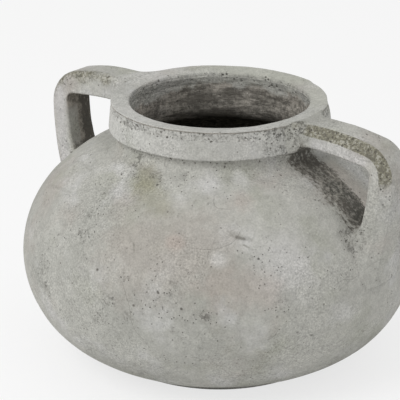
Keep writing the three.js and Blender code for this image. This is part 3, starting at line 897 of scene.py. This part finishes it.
for name, node, turn, faces, edge, moss in (
    ("right_strap", "right_handle", 1, right_faces, right_edge, right_moss),
    ("left_strap", "left_handle", -1, left_faces, left_edge, left_moss),
):

    def form(x, y, z):
        return strap(faces, edge, turn, x, y, z)

    places, quads = skin_of(form, *strap_box, grain)
    places = drawn_to(form, places)

    # Zones: the near outer edge is worn and mossy, and the face towards the jar carries dirt and painted
    # shade
    x, y, z = places.T
    outer_face, inner_face = strap_faces(faces, x, z)
    near = -y * turn - strap_width / 2
    worn_edge = ease(outer_face, *moss[2:]) * ease(near, *moss[2:]) * ease(z, 0.19, 0.22)
    mossy = worn_edge * moss[0] * ease(np.hypot(x, y), 92 * MM, 122 * MM)
    # Painted shade on the inner face: darker towards its far half, and at its top in the arm's shadow
    shaded = 1.2 * np.maximum(ease(y * turn, -6 * MM, 6 * MM), 0.45 * ease(z, 0.19, 0.21))
    inner_dirt_and_shade = ease(inner_face, -1.5 * MM, 0) * ease(x, 0.12, 0.15) * 0.95 * shaded

    mesh = bpy.data.meshes.new(name)
    mesh.from_pydata((places * (turn, turn, 1)).tolist(), [], quads.tolist())
    zones = mesh.attributes.new("zones", "FLOAT_VECTOR", "POINT")
    zones.data.foreach_set("vector", np.stack((inner_dirt_and_shade, worn_edge * moss[1], mossy), 1).ravel())
    handle = through_nodes(name, mesh, hand_worked, hand_marks | {"Pit": 0.6 * MM, "Material": body_cement})
    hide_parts(node)
    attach(handle, "root")

# Floor
# A plain pale sheet that the jar stands on. The camera and mirrors see it as nearly white, by a share of
# light of its own, and the rest of it stays matt, so that it keeps the jar's soft shadow.
floor_pale, floor_glow = (0.9, 0.9, 0.9, 1), (0.97, 0.97, 0.97, 1)
glow_share = 0.75


def seen_directly(nodes):
    """1 for what is seen, also in a mirror or through glass, and 0 for light that falls on things."""
    rays = nodes.add("ShaderNodeLightPath").link.node.outputs
    kinds = ("Is Camera Ray", "Is Glossy Ray", "Is Transmission Ray")
    straight, mirrored, through = (Socket(nodes, rays[kind]) for kind in kinds)
    return nodes.maths("MAXIMUM", nodes.maths("MAXIMUM", straight, mirrored), through)


floor_mesh = bpy.data.meshes.new("pale_floor")
floor_mesh.from_pydata([(-6, -6, 0), (6, -6, 0), (6, 8, 0), (-6, 8, 0)], [], [(0, 1, 2, 3)])
pale_floor = bpy.data.objects.new("pale_floor", floor_mesh)
bpy.context.scene.collection.objects.link(pale_floor)
floor_material = bpy.data.materials.new("pale_floor")
floor_material.use_nodes = True
nodes = Nodes(floor_material.node_tree)
matt = nodes.add("ShaderNodeBsdfDiffuse", {}, {"Color": floor_pale})
glow = nodes.add("ShaderNodeEmission", {}, {"Color": floor_glow, "Strength": 1.0})
surface = nodes.add("ShaderNodeMixShader", {}, {0: seen_directly(nodes) * glow_share, 1: matt, 2: glow})
nodes.add("ShaderNodeOutputMaterial", {}, {"Surface": surface})
floor_mesh.materials.append(floor_material)

# Lights
# One large soft light high on the camera's left, and even light from all round. What the camera sees of the
# surroundings is a little brighter than what lights the jar.
surround_light, seen_more = 0.74, 0.19
key_azimuth, key_height, key_distance, key_size, key_power = 46, 43, 2.4, 1.2, 23
view_turn = math.radians(38.41)  # from the line across the handles to the camera
world = bpy.data.worlds.new("studio")
world.use_nodes = True
bpy.context.scene.world = world
nodes = Nodes(world.node_tree)
strength = surround_light + seen_directly(nodes) * seen_more
pale = nodes.add("ShaderNodeBackground", {}, {"Color": (1, 1, 1, 1), "Strength": strength})
nodes.add("ShaderNodeOutputWorld", {}, {"Surface": pale})


def soft_light(name, azimuth, height, distance, size, power):
    """A square soft light, aimed at the jar from an angle left of the camera and an angle up."""
    lamp = bpy.data.lights.new(name, "AREA")
    lamp.size = size
    lamp.energy = power
    light = bpy.data.objects.new(name, lamp)
    turn, up = view_turn - math.radians(azimuth), math.radians(height)
    target = Vector((0, 0, 0.15))
    away = Vector((math.sin(turn) * math.cos(up), -math.cos(turn) * math.cos(up), math.sin(up)))
    light.location = target + away * distance
    light.rotation_euler = away.to_track_quat("Z", "Y").to_euler()
    bpy.context.scene.collection.objects.link(light)


soft_light("key", key_azimuth, key_height, key_distance, key_size, key_power)

# Camera
# It looks down into the mouth through a long lens from about 1.7 metres away, with the jar low in the
# picture and to the right.
camera_distance = 1.5645
camera_height = 0.7475
camera_yaw = math.radians(-0.633)
camera_pitch = math.radians(21.182)
camera_roll = math.radians(-0.12)
camera = bpy.data.cameras.new("camera")
camera.lens = 165.48
camera.sensor_width = 36
forwards = Vector((
    math.sin(camera_yaw) * math.cos(camera_pitch),
    math.cos(camera_yaw) * math.cos(camera_pitch),
    -math.sin(camera_pitch),
))
level = forwards.cross(Vector((0, 0, 1))).normalized()
upwards = level.cross(forwards)
across = math.cos(camera_roll) * level + math.sin(camera_roll) * upwards
upwards = -math.sin(camera_roll) * level + math.cos(camera_roll) * upwards
turned_round = Matrix.Rotation(view_turn, 3, "Z")
facing = turned_round @ Matrix((across, upwards, -forwards)).transposed()
view = bpy.data.objects.new("camera", camera)
view.matrix_world = Matrix.Translation(
    (camera_distance * math.sin(view_turn), -camera_distance * math.cos(view_turn), camera_height)
) @ facing.to_4x4()
bpy.context.scene.collection.objects.link(view)
bpy.context.scene.camera = view
bpy.context.scene.view_settings.view_transform = "Standard"
